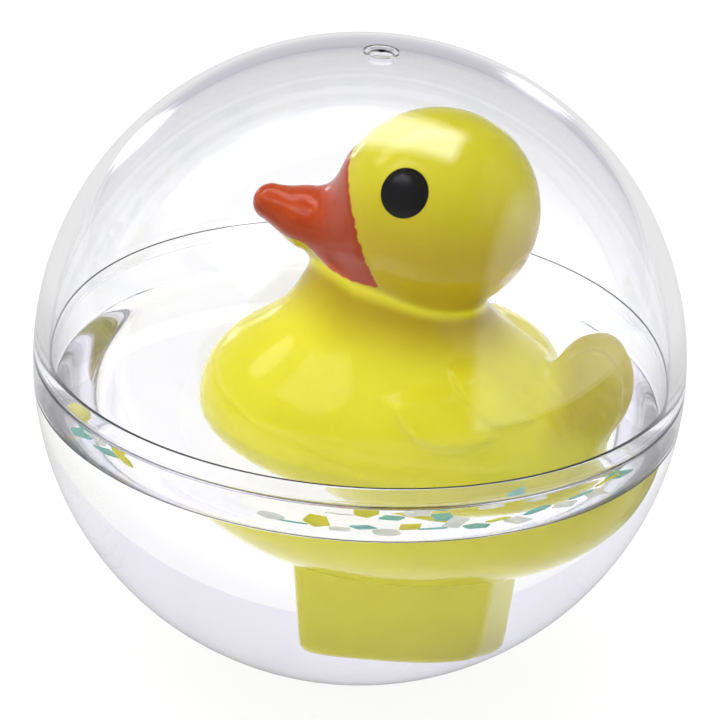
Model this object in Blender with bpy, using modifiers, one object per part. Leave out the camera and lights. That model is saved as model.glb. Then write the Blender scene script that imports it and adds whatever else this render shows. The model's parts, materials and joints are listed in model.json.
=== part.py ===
"""Duck bath ball: a clear plastic ball, half full of water, in which a hollow duck floats on a weighted keel.

Metres, +Z up. The ball's centre is the origin. The duck is modelled looking along -X, then turned to its bearing.
"""

import math

import bmesh
import bpy
from mathutils import Matrix, Vector

# Ball: two moulded shells with a lap joint, and a plug at the top
BALL_RADIUS = 0.0375
SHELL_WALL = 0.0018
SEAM_ABOVE_WATER = 0.0051
LIP_RISE = 0.0021
LIP_DEPTH = 0.0024
LIP_WALL = 0.0012
LIP_CHAMFER = 0.0012
LIP_LEAD = 0.0010
LIP_EDGE = 0.0004
FIT = 0.0003
PLUG_HEAD_RADIUS = 0.0021
PLUG_HEAD_DEPTH = 0.0009
PLUG_SHANK_RADIUS = 0.0014
PLUG_SHANK_LENGTH = 0.0012
TURN_STEPS = 40
ARC_STEPS = 10

# Flakes that float on the water
FLAKE_RADIUS = 0.0015
FLAKE_THICKNESS = 0.00015

# Where the duck floats: the gap from the wall to the circle that its tail sweeps, the bearing of its drift,
# the gap over its head, and the height of the waterline on it
DUCK_SIDE_GAP = 0.0031
DUCK_BEARING = math.radians(-42)
DUCK_HEADROOM = 0.0036
WATERLINE = -0.0042

# Duck: one hollow moulding of hull, shoulders, head, tail, wings and beak
DUCK_YAW = math.radians(-12)
DUCK_WALL = 0.0012
HULL_RADII = Vector((0.0214, 0.0176, 0.0112))
HULL_CENTRE = Vector((0.0025, 0.0, -0.0059))
SHOULDER_RADII = Vector((0.0179, 0.0160, 0.0118))
SHOULDER_CENTRE = Vector((-0.0059, 0.0, -0.0036))
BACK_RADII = Vector((0.0145, 0.0142, 0.0098))
BACK_CENTRE = Vector((0.0036, 0.0, -0.0014))
HEAD_RADII = Vector((0.0113, 0.0106, 0.0111))
HEAD_CENTRE = Vector((0.0023, 0.0, 0.0210))
NECK_RADII = Vector((0.0099, 0.0085, 0.0090))
NECK_CENTRE = Vector((-0.0024, 0.0, 0.0100))
NECK_FOOT_RADII = Vector((0.0137, 0.0120, 0.0074))
NECK_FOOT_CENTRE = Vector((-0.0045, 0.0, 0.0045))
TAIL_RADII = Vector((0.0046, 0.0026, 0.0067))
TAIL_CENTRE = Vector((0.0213, 0.0, 0.0026))
TAIL_TILT = math.radians(6)
TAIL_FAN = math.radians(16)
TAIL_SPREAD = 0.0024
BEAK_ROOT_RADII = (0.0064, 0.0074)
BEAK_TIP_RADIUS = 0.0022
BEAK_ROOT = Vector((-0.0045, 0.0, 0.0168))
BEAK_TIP = Vector((-0.0172, 0.0, 0.0187))
EYE_RADIUS = 0.0027
EYE_DEPTH = 0.0007
EYE_DIRECTION = Vector((-0.22, 0.84, 0.49))
SKIN_STEP = 0.0018
CAVITY_STEP = 0.0026
SMOOTHING = 4

# Feathers of one wing, front to back: centre, radii and yaw in degrees; the other wing mirrors them
FEATHERS = (
    (Vector((0.0068, 0.0130, 0.0022)), Vector((0.0075, 0.0034, 0.0038)), -18.0),
    (Vector((0.0120, 0.0094, 0.0030)), Vector((0.0066, 0.0030, 0.0034)), -34.0),
    (Vector((0.0158, 0.0050, 0.0034)), Vector((0.0050, 0.0024, 0.0030)), -48.0),
)

# Keel: a tapered box under the hull that carries a weight, with a collar that enters the hull
KEEL_TOP = (0.0195, 0.0110)
KEEL_FOOT = (0.0160, 0.0084)
KEEL_FOOT_HEIGHT = -0.0250
KEEL_EDGE = 0.0014
KEEL_WALL = 0.0012
COLLAR_RISE = 0.0030
BALLAST_HEIGHT = 0.0085

# Rows of flakes: gap from the ball's inner wall, first and last bearing in degrees, and how many
FLAKE_ROWS = (
    (0.0024, -104.0, -54.0, 13),
    (0.0055, -92.0, -50.0, 9),
    (0.0029, -158.0, -138.0, 5),
    (0.0026, -47.0, -26.0, 6),
)
FLAKE_EDGES = (4, 6, 4, 5, 4, 4, 6)
FLAKE_TILTS = (12.0, 40.0, 26.0, 52.0, 18.0, 34.0)
FLAKE_COLOURS = ("white", "blue", "yellow", "white", "blue", "white", "yellow", "blue")

CLEAR = (0.93, 0.94, 0.95)
YELLOW = (0.78, 0.68, 0.045)
WATER_TINT = (0.90, 0.95, 0.96)
STEEL = (0.45, 0.45, 0.46)
FLAKE_TINTS = {"white": (0.85, 0.86, 0.85), "blue": (0.42, 0.66, 0.62), "yellow": (0.80, 0.78, 0.14)}


def clear_scene():
    for item in list(bpy.data.objects):
        bpy.data.objects.remove(item, do_unlink=True)


def make_collection(name):
    group = bpy.data.collections.new(name)
    bpy.context.scene.collection.children.link(group)
    return group


def make_material(name, colour, roughness, metallic=0.0, transmission=0.0, ior=1.5):
    finish = bpy.data.materials.new(name)
    finish.use_nodes = True
    shader = finish.node_tree.nodes["Principled BSDF"]
    shader.inputs["Base Color"].default_value = (*colour, 1.0)
    shader.inputs["Roughness"].default_value = roughness
    shader.inputs["Metallic"].default_value = metallic
    shader.inputs["Transmission Weight"].default_value = transmission
    shader.inputs["IOR"].default_value = ior
    finish.diffuse_color = (*colour, 1.0)
    return finish


def make_object(name, mesh, group, finish=None, parent=None):
    item = bpy.data.objects.new(name, mesh)
    group.objects.link(item)
    item.parent = parent
    if finish:
        mesh.materials.append(finish)
    return item


def object_from_bmesh(name, shape, group, finish=None, parent=None):
    mesh = bpy.data.meshes.new(name)
    shape.to_mesh(mesh)
    shape.free()
    return make_object(name, mesh, group, finish, parent)


def make_cutter(name, shape, group, parent=None):
    cutter = object_from_bmesh(name, shape, group, parent=parent)
    cutter.hide_render = True
    cutter.display_type = "WIRE"
    return cutter


def apply_boolean(target, tool, operation, name):
    boolean = target.modifiers.new(name, "BOOLEAN")
    boolean.operation = operation
    boolean.solver = "EXACT"
    boolean.object = tool


def height_on_sphere(radius, distance):
    """Height above the centre of the point on a sphere that lies this far from its axis."""
    return math.sqrt(radius**2 - distance**2)


def arc(radius, start, end):
    """Points (distance from the axis, height) along a circle about the ball's centre, by elevation."""
    angles = [start + (end - start) * step / ARC_STEPS for step in range(ARC_STEPS + 1)]
    return [(max(radius * math.cos(angle), 0.0), radius * math.sin(angle)) for angle in angles]


def make_turned(name, outline, group, finish, closed=False):
    """A solid turned about Z from an outline of (distance, height) points, by a Screw modifier."""
    mesh = bpy.data.meshes.new(name)
    points = [(distance, 0.0, height) for distance, height in outline]
    edges = [(index, index + 1) for index in range(len(points) - 1)]
    if closed:
        edges.append((len(points) - 1, 0))
    mesh.from_pydata(points, edges, [])
    item = make_object(name, mesh, group, finish)
    screw = item.modifiers.new("Turn", "SCREW")
    screw.steps = TURN_STEPS
    screw.render_steps = TURN_STEPS
    screw.use_merge_vertices = True
    screw.merge_threshold = 0.00001
    screw.use_normal_flip = True
    return item


def inner_radius():
    return BALL_RADIUS - SHELL_WALL


def duck_place():
    """The duck's middle: drifted towards one side of the ball, as high as the gap over its head lets it be."""
    drift = inner_radius() - DUCK_SIDE_GAP - TAIL_CENTRE.x - TAIL_RADII.x
    height = inner_radius() - DUCK_HEADROOM - HEAD_CENTRE.z - HEAD_RADII.z
    return Vector((drift * math.cos(DUCK_BEARING), drift * math.sin(DUCK_BEARING), height))


def water_level():
    return duck_place().z + WATERLINE


def seam_height():
    return water_level() + SEAM_ABOVE_WATER


def lip_outline():
    """The lip that rises inside the upper shell, from its outer foot over its lead-in to its inner foot."""
    top = seam_height() + LIP_RISE
    foot = seam_height() - LIP_DEPTH
    outer = height_on_sphere(inner_radius(), top) - FIT
    inner = outer - LIP_WALL
    foot_outer = height_on_sphere(inner_radius(), foot)
    return [
        (outer, seam_height() - FIT),
        (outer, top - LIP_LEAD),
        (inner + LIP_EDGE, top),
        (inner, top),
        (inner, foot + LIP_CHAMFER),
        (foot_outer, foot),
    ]


def make_lower_shell(group, finish):
    lip = lip_outline()
    rim_angle = math.asin((seam_height() - FIT) / BALL_RADIUS)
    foot_angle = math.asin(lip[-1][1] / inner_radius())
    outline = arc(BALL_RADIUS, -math.pi / 2, rim_angle) + lip
    outline += arc(inner_radius(), foot_angle, -math.pi / 2)[1:]
    return make_turned("lower_shell", outline, group, finish)


def make_upper_shell(group, finish):
    head_bore = PLUG_HEAD_RADIUS + FIT
    shank_bore = PLUG_SHANK_RADIUS + FIT
    ledge = BALL_RADIUS - PLUG_HEAD_DEPTH - FIT
    seam_angle = math.asin(seam_height() / BALL_RADIUS)
    outer = arc(BALL_RADIUS, seam_angle, math.acos(head_bore / BALL_RADIUS))
    seat = [(head_bore, ledge), (shank_bore, ledge)]
    inner = arc(inner_radius(), math.acos(shank_bore / inner_radius()), math.asin(seam_height() / inner_radius()))
    return make_turned("upper_shell", outer + seat + inner, group, finish, closed=True)


def make_fill_plug(group, finish):
    """A stepped plug whose flat head closes the ball's top flush."""
    under_head = BALL_RADIUS - PLUG_HEAD_DEPTH
    foot = under_head - PLUG_SHANK_LENGTH
    outline = [
        (0.0, foot),
        (PLUG_SHANK_RADIUS, foot),
        (PLUG_SHANK_RADIUS, under_head),
        (PLUG_HEAD_RADIUS, under_head),
        (PLUG_HEAD_RADIUS, BALL_RADIUS),
        (0.0, BALL_RADIUS),
    ]
    return make_turned("fill_plug", outline, group, finish)


def add_ellipsoid(shape, centre, radii, turn=None, grow=0.0):
    place = Matrix.Translation(centre) @ (turn or Matrix.Identity(4))
    size = Matrix.Diagonal((*(radii + Vector((grow, grow, grow))), 1.0))
    bmesh.ops.create_uvsphere(shape, u_segments=28, v_segments=14, radius=1.0, matrix=place @ size)


def add_tail(shape, grow=0.0):
    """Three upturned feathers side by side, which fan out from the stern."""
    for side in (-1, 0, 1):
        turn = Matrix.Rotation(side * TAIL_FAN, 4, "Z") @ Matrix.Rotation(TAIL_TILT, 4, "Y")
        centre = TAIL_CENTRE + Vector((0.0, side * TAIL_SPREAD, 0.0))
        add_ellipsoid(shape, centre, TAIL_RADII, turn, grow)


def add_wings(shape, grow=0.0):
    """Overlapping leaf shapes that run down and back along each side."""
    for centre, radii, yaw in FEATHERS:
        for side in (-1, 1):
            turn = Matrix.Rotation(side * math.radians(yaw), 4, "Z")
            add_ellipsoid(shape, Vector((centre.x, side * centre.y, centre.z)), radii, turn, grow)


def add_beak(shape):
    """A cone from the face to a blunt tip, wider than it is high."""
    along = BEAK_TIP - BEAK_ROOT
    turn = along.to_track_quat("Z", "X").to_matrix().to_4x4()
    widen = Matrix.Diagonal((BEAK_ROOT_RADII[0] / BEAK_ROOT_RADII[1], 1.0, 1.0, 1.0))
    place = Matrix.Translation((BEAK_ROOT + BEAK_TIP) / 2) @ turn @ widen
    bmesh.ops.create_cone(
        shape,
        cap_ends=True,
        segments=20,
        radius1=BEAK_ROOT_RADII[1],
        radius2=BEAK_TIP_RADIUS,
        depth=along.length,
        matrix=place,
    )


def add_trunk(shape, grow=0.0):
    """Hull, shoulders, back, neck with its foot and head, each grown by the same distance."""
    add_ellipsoid(shape, HULL_CENTRE, HULL_RADII, grow=grow)
    add_ellipsoid(shape, SHOULDER_CENTRE, SHOULDER_RADII, grow=grow)
    add_ellipsoid(shape, BACK_CENTRE, BACK_RADII, grow=grow)
    add_ellipsoid(shape, NECK_CENTRE, NECK_RADII, grow=grow)
    add_ellipsoid(shape, NECK_FOOT_CENTRE, NECK_FOOT_RADII, grow=grow)
    add_ellipsoid(shape, HEAD_CENTRE, HEAD_RADII, grow=grow)


def blend(item, step):
    """Melts overlapping forms into one skin."""
    remesh = item.modifiers.new("Blend", "REMESH")
    remesh.mode = "VOXEL"
    remesh.voxel_size = step
    smooth = item.modifiers.new("Soften", "SMOOTH")
    smooth.iterations = SMOOTHING


def tapered_box(shape, top, foot, top_height, foot_height):
    """A box whose plan goes from one (length, width) at the top to another at the foot."""
    made = bmesh.ops.create_cube(shape, size=2.0)
    for vert in made["verts"]:
        length, width = top if vert.co.z > 0 else foot
        height = top_height if vert.co.z > 0 else foot_height
        vert.co = Vector((vert.co.x * length / 2, vert.co.y * width / 2, height))


def round_edges(item, radius):
    bevel = item.modifiers.new("Round", "BEVEL")
    bevel.width = radius
    bevel.segments = 2


def pocket_size():
    return tuple(side - 2 * KEEL_WALL for side in KEEL_FOOT)


def collar_size(grow=0.0):
    return tuple(side + 2 * KEEL_WALL + 2 * grow for side in pocket_size())


def hull_floor():
    """Height of the lowest point of the hull's outside."""
    return HULL_CENTRE.z - HULL_RADII.z


def collar_top():
    return hull_floor() + DUCK_WALL + COLLAR_RISE


def make_duck_body(group, cutters, finish, pose):
    skin = bmesh.new()
    add_trunk(skin)
    add_tail(skin)
    add_wings(skin)
    add_beak(skin)
    duck = object_from_bmesh("duck_body", skin, group, finish, pose)
    blend(duck, SKIN_STEP)
    inside = bmesh.new()
    add_trunk(inside, grow=-DUCK_WALL)
    cavity = make_cutter("duck_cavity", inside, cutters, pose)
    blend(cavity, CAVITY_STEP)
    apply_boolean(duck, cavity, "DIFFERENCE", "Hollow")
    hole = bmesh.new()
    size = collar_size(FIT)
    tapered_box(hole, size, size, HULL_CENTRE.z, hull_floor() - SHELL_WALL)
    apply_boolean(duck, make_cutter("collar_hole", hole, cutters, pose), "DIFFERENCE", "Collar hole")
    for side in (-1, 1):
        apply_boolean(duck, make_eye_recess(side, cutters, pose), "DIFFERENCE", "Eye recess")
    return duck


def make_eye_recess(side, cutters, pose):
    """A shallow disc sunk in the head, on the line from the head's centre through the eye."""
    out = Vector((EYE_DIRECTION.x, side * EYE_DIRECTION.y, EYE_DIRECTION.z)).normalized()
    surface = 1.0 / Vector(out[axis] / HEAD_RADII[axis] for axis in range(3)).length
    turn = out.to_track_quat("Z", "Y").to_matrix().to_4x4()
    centre = HEAD_CENTRE + out * (surface - EYE_DEPTH + EYE_RADIUS / 2)
    disc = bmesh.new()
    place = Matrix.Translation(centre) @ turn
    bmesh.ops.create_cone(
        disc, cap_ends=True, segments=20, radius1=EYE_RADIUS, radius2=EYE_RADIUS, depth=EYE_RADIUS, matrix=place
    )
    return make_cutter("eye_recess", disc, cutters, pose)


def make_keel(group, cutters, finish, pose):
    block = bmesh.new()
    tapered_box(block, KEEL_TOP, KEEL_FOOT, HULL_CENTRE.z, KEEL_FOOT_HEIGHT)
    keel = object_from_bmesh("keel", block, group, finish, pose)
    round_edges(keel, KEEL_EDGE)
    seat = bmesh.new()
    add_ellipsoid(seat, HULL_CENTRE, HULL_RADII, grow=FIT)
    apply_boolean(keel, make_cutter("hull_seat", seat, cutters, pose), "DIFFERENCE", "Hull seat")
    rise = bmesh.new()
    tapered_box(rise, collar_size(), collar_size(), collar_top(), hull_floor() - KEEL_WALL - SHELL_WALL)
    apply_boolean(keel, make_cutter("keel_collar", rise, cutters, pose), "UNION", "Collar")
    hollow = bmesh.new()
    tapered_box(hollow, pocket_size(), pocket_size(), collar_top() + KEEL_WALL, KEEL_FOOT_HEIGHT + KEEL_WALL)
    apply_boolean(keel, make_cutter("keel_pocket", hollow, cutters, pose), "DIFFERENCE", "Pocket")
    return keel


def make_ballast(group, finish, pose):
    block = bmesh.new()
    size = tuple(side - 2 * FIT for side in pocket_size())
    foot = KEEL_FOOT_HEIGHT + KEEL_WALL + FIT
    tapered_box(block, size, size, foot + BALLAST_HEIGHT, foot)
    return object_from_bmesh("ballast_weight", block, group, finish, pose)


def make_water(group, cutters, finish, pose):
    """Fills the lower shell up to the water level, round the hull and the keel."""
    radius = inner_radius() - FIT
    level_angle = math.asin(water_level() / radius)
    outline = arc(radius, -math.pi / 2, level_angle) + [(0.0, water_level())]
    water = make_turned("water", outline, group, finish)
    space = bmesh.new()
    add_ellipsoid(space, HULL_CENTRE, HULL_RADII, grow=FIT)
    add_ellipsoid(space, SHOULDER_CENTRE, SHOULDER_RADII, grow=FIT)
    add_ellipsoid(space, BACK_CENTRE, BACK_RADII, grow=FIT)
    add_wings(space, FIT)
    add_tail(space, FIT)
    hull = make_cutter("hull_space", space, cutters, pose)
    blend(hull, SKIN_STEP)
    apply_boolean(water, hull, "DIFFERENCE", "Hull space")
    box = bmesh.new()
    top = tuple(side + 2 * FIT for side in KEEL_TOP)
    foot = tuple(side + 2 * FIT for side in KEEL_FOOT)
    tapered_box(box, top, foot, HULL_CENTRE.z, KEEL_FOOT_HEIGHT - FIT)
    apply_boolean(water, make_cutter("keel_space", box, cutters, pose), "DIFFERENCE", "Keel space")
    return water


def make_flake(number, bearing, gap, group, finish):
    """A small plate of four to six sides that rests on the water, its outer edge tipped up."""
    tilt = math.radians(FLAKE_TILTS[number % len(FLAKE_TILTS)])
    distance = height_on_sphere(inner_radius(), water_level()) - gap
    height = water_level() + FIT + FLAKE_RADIUS * math.sin(tilt) + FLAKE_THICKNESS / 2
    place = Matrix.Translation((distance * math.cos(bearing), distance * math.sin(bearing), height))
    turn = Matrix.Rotation(bearing, 4, "Z") @ Matrix.Rotation(-tilt, 4, "Y") @ Matrix.Rotation(number, 4, "Z")
    plate = bmesh.new()
    edges = FLAKE_EDGES[number % len(FLAKE_EDGES)]
    bmesh.ops.create_cone(
        plate,
        cap_ends=True,
        segments=edges,
        radius1=FLAKE_RADIUS,
        radius2=FLAKE_RADIUS,
        depth=FLAKE_THICKNESS,
        matrix=place @ turn,
    )
    object_from_bmesh(f"flake_{number:02d}", plate, group, finish)


def make_flakes(group, finishes):
    number = 0
    for gap, first, last, count in FLAKE_ROWS:
        for place in range(count):
            bearing = math.radians(first + (last - first) * place / (count - 1))
            colour = FLAKE_COLOURS[number % len(FLAKE_COLOURS)]
            number += 1
            make_flake(number, bearing, gap, group, finishes[colour])


def make_pose(group):
    """The empty that every piece of the duck hangs from."""
    pose = bpy.data.objects.new("duck_pose", None)
    group.objects.link(pose)
    pose.location = duck_place()
    pose.rotation_euler.z = DUCK_YAW
    return pose


def main():
    clear_scene()
    group = make_collection("duck bath ball")
    cutters = make_collection("cutters")
    shell = make_material("clear polystyrene", CLEAR, 0.03, transmission=1.0, ior=1.59)
    vinyl = make_material("yellow vinyl", YELLOW, 0.3)
    liquid = make_material("water", WATER_TINT, 0.0, transmission=1.0, ior=1.33)
    steel = make_material("steel weight", STEEL, 0.4, metallic=1.0)
    flakes = {name: make_material(f"{name} flake", tint, 0.5) for name, tint in FLAKE_TINTS.items()}
    pose = make_pose(group)
    make_lower_shell(group, shell)
    make_upper_shell(group, shell)
    make_fill_plug(group, shell)
    make_duck_body(group, cutters, vinyl, pose)
    make_keel(group, cutters, vinyl, pose)
    make_ballast(group, steel, pose)
    make_water(group, cutters, liquid, pose)
    make_flakes(group, flakes)


main()
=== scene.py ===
# %% [markdown]
# A duck bath ball is two clear hemispheres that hold water, coloured flakes and a small floating duck.
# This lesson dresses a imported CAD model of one. It loads the model as a fixed frame, then replaces its
# plain solids with smooth clear shells, water with a real waterline and a soft vinyl duck.
# Lengths are in millimetres, because the walls are only two of them thick, and become metres in the meshes.

import json
import math

import bmesh
import bpy
import numpy as np
from mathutils import Matrix, Vector


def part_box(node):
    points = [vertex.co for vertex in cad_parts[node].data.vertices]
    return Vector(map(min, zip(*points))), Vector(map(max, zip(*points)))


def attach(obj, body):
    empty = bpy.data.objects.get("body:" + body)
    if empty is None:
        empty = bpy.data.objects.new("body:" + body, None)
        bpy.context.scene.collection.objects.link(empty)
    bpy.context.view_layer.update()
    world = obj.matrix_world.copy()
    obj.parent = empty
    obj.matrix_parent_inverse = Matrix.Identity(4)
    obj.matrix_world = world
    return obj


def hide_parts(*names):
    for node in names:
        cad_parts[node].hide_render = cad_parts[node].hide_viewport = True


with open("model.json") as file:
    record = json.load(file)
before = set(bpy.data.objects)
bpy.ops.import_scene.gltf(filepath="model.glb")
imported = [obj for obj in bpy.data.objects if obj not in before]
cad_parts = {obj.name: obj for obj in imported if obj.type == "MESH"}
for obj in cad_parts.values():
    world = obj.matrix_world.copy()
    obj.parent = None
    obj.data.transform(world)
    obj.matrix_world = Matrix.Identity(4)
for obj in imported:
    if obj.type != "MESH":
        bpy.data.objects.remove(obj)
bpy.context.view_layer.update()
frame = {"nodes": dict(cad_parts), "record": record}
MM = 0.001
BALL = round(-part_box("lower_shell")[0].z / MM, 2)
print("Ball radius, mm:", BALL)

# %% [markdown]
# The camera comes first, because everything after it is judged through it. It looks down at the ball from
# about 26 degrees, eight ball radii away, and leans over by 4 degrees. The focal length then follows from
# how wide the ball stands in a square picture.

# %% Camera
CAMERA_REACH = 8.0
CAMERA_RISE = math.radians(25.7)
CAMERA_ROLL = math.radians(4.0)
PICTURE_PIXELS = 720
BALL_IN_PICTURE = 654 / PICTURE_PIXELS
CENTRE_DROP = 1.5 / PICTURE_PIXELS
SENSOR = 36.0
NEAREST_SEEN = 10.0


def make_camera():
    """The focal length makes the ball's outline, a cone of sine 1 / reach, fill its share of the picture."""
    lens = bpy.data.cameras.new("camera")
    camera = bpy.data.objects.new("camera", lens)
    bpy.context.scene.collection.objects.link(camera)
    back = Vector((0, -math.cos(CAMERA_RISE), math.sin(CAMERA_RISE)))
    right, up = Vector((1, 0, 0)), Vector((0, math.sin(CAMERA_RISE), math.cos(CAMERA_RISE)))
    side = right * math.cos(CAMERA_ROLL) + up * math.sin(CAMERA_ROLL)
    top = up * math.cos(CAMERA_ROLL) - right * math.sin(CAMERA_ROLL)
    turn = Matrix((side, top, back)).transposed().to_4x4()
    camera.matrix_world = Matrix.Translation(back * CAMERA_REACH * BALL * MM) @ turn
    lens.sensor_width = SENSOR
    lens.lens = BALL_IN_PICTURE / 2 * math.sqrt(CAMERA_REACH**2 - 1) * SENSOR
    lens.shift_y = -CENTRE_DROP
    lens.clip_start = NEAREST_SEEN * MM
    bpy.context.scene.camera = camera
    return lens.lens


print("Focal length, mm:", round(make_camera(), 1))

# %% [markdown]
# Colours are noted the way a paint chart gives them, as sRGB hex, and one function turns them into the
# linear light that shaders work in. A second function adds a node with its settings and its links, so
# that each material reads as a short list of what it is made of.


# %% Colour and node helpers
def linear(code):
    """sRGB hex to linear: c / 12.92 up to 0.04045, and ((c + 0.055) / 1.055) to the 2.4 above it."""
    shares = [int(code[place : place + 2], 16) / 255 for place in (1, 3, 5)]
    return tuple(c / 12.92 if c <= 0.04045 else ((c + 0.055) / 1.055) ** 2.4 for c in shares) + (1.0,)


def add_node(tree, kind, settings=None, **inputs):
    """Adds a node. Each input, named with _ for a space, takes a value or a link from an output socket."""
    node = tree.nodes.new(kind)
    for name, value in (settings or {}).items():
        setattr(node, name, value)
    for name, value in inputs.items():
        key = int(name[5:]) if name.startswith("slot_") else name.replace("_", " ")
        if isinstance(value, bpy.types.NodeSocket):
            tree.links.new(value, node.inputs[key])
        else:
            node.inputs[key].default_value = value
    return node


def new_material(name):
    """An empty material, its node tree and a function that sends a shader to its output."""
    material = bpy.data.materials.new(name)
    material.use_nodes = True
    tree = material.node_tree
    tree.nodes.clear()

    def finish(shader):
        """Sends a shader to the material's output."""
        add_node(tree, "ShaderNodeOutputMaterial", Surface=shader.outputs[0])

    return material, tree, finish


def maths(tree, operation, *values):
    """A Math node on one or two numbers or sockets."""
    settings = {"operation": operation, "use_clamp": False}
    inputs = {f"slot_{place}": value for place, value in enumerate(values)}
    return add_node(tree, "ShaderNodeMath", settings, **inputs).outputs[0]


MOST_OF_NOISE = (0.3, 0.7)


def noise(tree, size_mm, detail=2.0, shift=0.0):
    """Noise in the object's own coordinates, with features about size_mm across."""
    place = add_node(tree, "ShaderNodeTexCoord").outputs["Object"]
    moved = add_node(tree, "ShaderNodeMapping", Vector=place, Location=(shift, shift, shift))
    repeats = 1 / (size_mm * MM)
    return add_node(tree, "ShaderNodeTexNoise", Vector=moved.outputs[0], Scale=repeats, Detail=detail)


def ramp(tree, factor, stops, *codes):
    """A colour ramp with one sRGB hex colour at each of its two stops."""
    node = add_node(tree, "ShaderNodeValToRGB", Fac=factor)
    for element, stop, code in zip(node.color_ramp.elements, stops, codes):
        element.position = stop
        element.color = linear(code)
    return node.outputs["Color"]


def spread(tree, value, low, high, start, end):
    """Maps a value from one range to another, and holds it at the ends."""
    settings = {"clamp": True}
    inputs = {"From_Min": low, "From_Max": high, "To_Min": start, "To_Max": end}
    return add_node(tree, "ShaderNodeMapRange", settings, Value=value, **inputs).outputs[0]


print("Chart yellow in linear light:", [round(c, 3) for c in linear("#E4DC33")[:3]])

# %% [markdown]
# Meshes come from arrays. A surface is a grid of points, given by a function of two parameters, and its
# faces follow from the grid. Turned pieces are outlines swept round the ball's axis. The points are in
# millimetres until the mesh is made, and every piece keeps its place in its mesh.


# %% Mesh helpers
SAME_POINT = 1e-4


def mesh_object(name, points, faces, material, crease=math.radians(35)):
    """Makes a closed mesh object from points in millimetres and rows of face corners."""
    mesh = bpy.data.meshes.new(name)
    mesh.from_pydata((np.asarray(points, float) * MM).tolist(), [], np.asarray(faces).tolist())
    shape = bmesh.new()
    shape.from_mesh(mesh)
    bmesh.ops.remove_doubles(shape, verts=shape.verts, dist=SAME_POINT * MM)
    bmesh.ops.recalc_face_normals(shape, faces=shape.faces)
    shape.to_mesh(mesh)
    shape.free()
    mesh.materials.append(material)
    mesh.shade_smooth()
    mesh.set_sharp_from_angle(angle=crease)
    piece = bpy.data.objects.new(name, mesh)
    bpy.context.scene.collection.objects.link(piece)
    return piece


def grid_faces(rows, columns, wrap_rows=False):
    """Quads over a grid of points whose columns wrap round, and whose rows may."""
    row = np.arange(rows if wrap_rows else rows - 1)[:, None]
    column = np.arange(columns)[None]
    after, beside = (row + 1) % rows, (column + 1) % columns
    near, far = row * columns, after * columns
    corners = [near + column, near + beside, far + beside, far + column]
    return np.stack(np.broadcast_arrays(*corners), -1).reshape(-1, 4)


def turn_points(outline, steps):
    """Points at (distance cos a, distance sin a, height) for each row of the outline and each angle a."""
    angle = np.linspace(0, 2 * np.pi, steps, endpoint=False)
    distance, height = np.asarray(outline, float).T
    x, y = distance[:, None] * np.cos(angle), distance[:, None] * np.sin(angle)
    return np.stack([x, y, np.broadcast_to(height[:, None], x.shape)], -1)


def turned(name, outline, material, steps=240, ring=False):
    """A solid turned about Z. A ring's outline closes on itself. Any other starts and ends on the axis."""
    points = turn_points(outline, steps)
    return mesh_object(name, points.reshape(-1, 3), grid_faces(len(outline), steps, ring), material)


print("A grid of 3 rows and 4 columns has", len(grid_faces(3, 4)), "faces")

# %% [markdown]
# An outline is a list of rows, each with a distance from the axis and a height. Most rows of this ball lie
# on circles. Where two stretches meet, the corner is rounded, because a moulded edge is never sharp and its
# small radius is what glints.


# %% Outlines
def arc(radius, start, end, steps=72):
    """Outline rows along a circle about the ball's centre, from one elevation in degrees to another."""
    angle = np.radians(np.linspace(start, end, steps))
    return np.stack([np.maximum(radius * np.cos(angle), 0.0), radius * np.sin(angle)], -1)


def elevation(radius, height):
    """The elevation in degrees of a circle's point at a height."""
    return math.degrees(math.asin(height / radius))


def rounded(corners, radius, steps=5, most=0.45):
    """Replaces each inner corner of an outline with a short curve that starts and ends a radius away, or at
    most the given share of the side, where a side is short."""
    corners = np.asarray(corners, float)
    here = corners[1:-1]
    ends = []
    for other in (corners[:-2], corners[2:]):
        side = np.linalg.norm(other - here, axis=1)[:, None]
        ends.append(here + (other - here) / side * np.minimum(radius, side * most))
    start, end = ends
    t = np.linspace(0, 1, steps)[None, :, None]
    curve = (1 - t) ** 2 * start[:, None] + 2 * t * (1 - t) * here[:, None] + t**2 * end[:, None]
    return np.concatenate([corners[:1], curve.reshape(-1, 2), corners[-1:]])


print("A quarter circle has", len(arc(BALL, 0, 90)), "outline rows")

# %% [markdown]
# Injection-moulded crystal polystyrene is water-clear, stiff and very glossy, and its index of 1.59 is
# high for a plastic. Each material here is a Principled shader with numbers of its own: fine scuffs in
# the roughness of the shell, a faint swirl in the vinyl, and paint edges that a mesh attribute draws.


# %% Clear materials
POLYSTYRENE_INDEX, WATER_INDEX = 1.59, 1.333
SCUFF_SIZE, SCUFF_DETAIL, SCUFF_ROUGHNESS = 1.6, 6.0, 0.05
SCUFF_SHARE = (0.60, 0.85)


def clear_solid(tree, tint, index, roughness):
    """A Principled shader that lets all light through and bends it by the material's index."""
    settings = {"Base_Color": linear(tint), "Transmission_Weight": 1.0, "IOR": index, "Roughness": roughness}
    return add_node(tree, "ShaderNodeBsdfPrincipled", **settings)


def clear_polystyrene():
    """Crystal polystyrene, injection moulded and polished: clear, with faint handling scuffs."""
    material, tree, finish = new_material("crystal polystyrene, moulded")
    scuffs = noise(tree, SCUFF_SIZE, SCUFF_DETAIL).outputs["Fac"]
    rough = spread(tree, scuffs, *SCUFF_SHARE, 0.0, SCUFF_ROUGHNESS)
    finish(clear_solid(tree, "#FDFDFE", POLYSTYRENE_INDEX, rough))
    return material


def bath_water():
    """Clean tap water."""
    material, tree, finish = new_material("still water")
    finish(clear_solid(tree, "#FDFDFC", WATER_INDEX, 0.0))
    return material


POLYSTYRENE = clear_polystyrene()
WATER = bath_water()
print("Clear materials:", POLYSTYRENE.name, "/", WATER.name)

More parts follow.
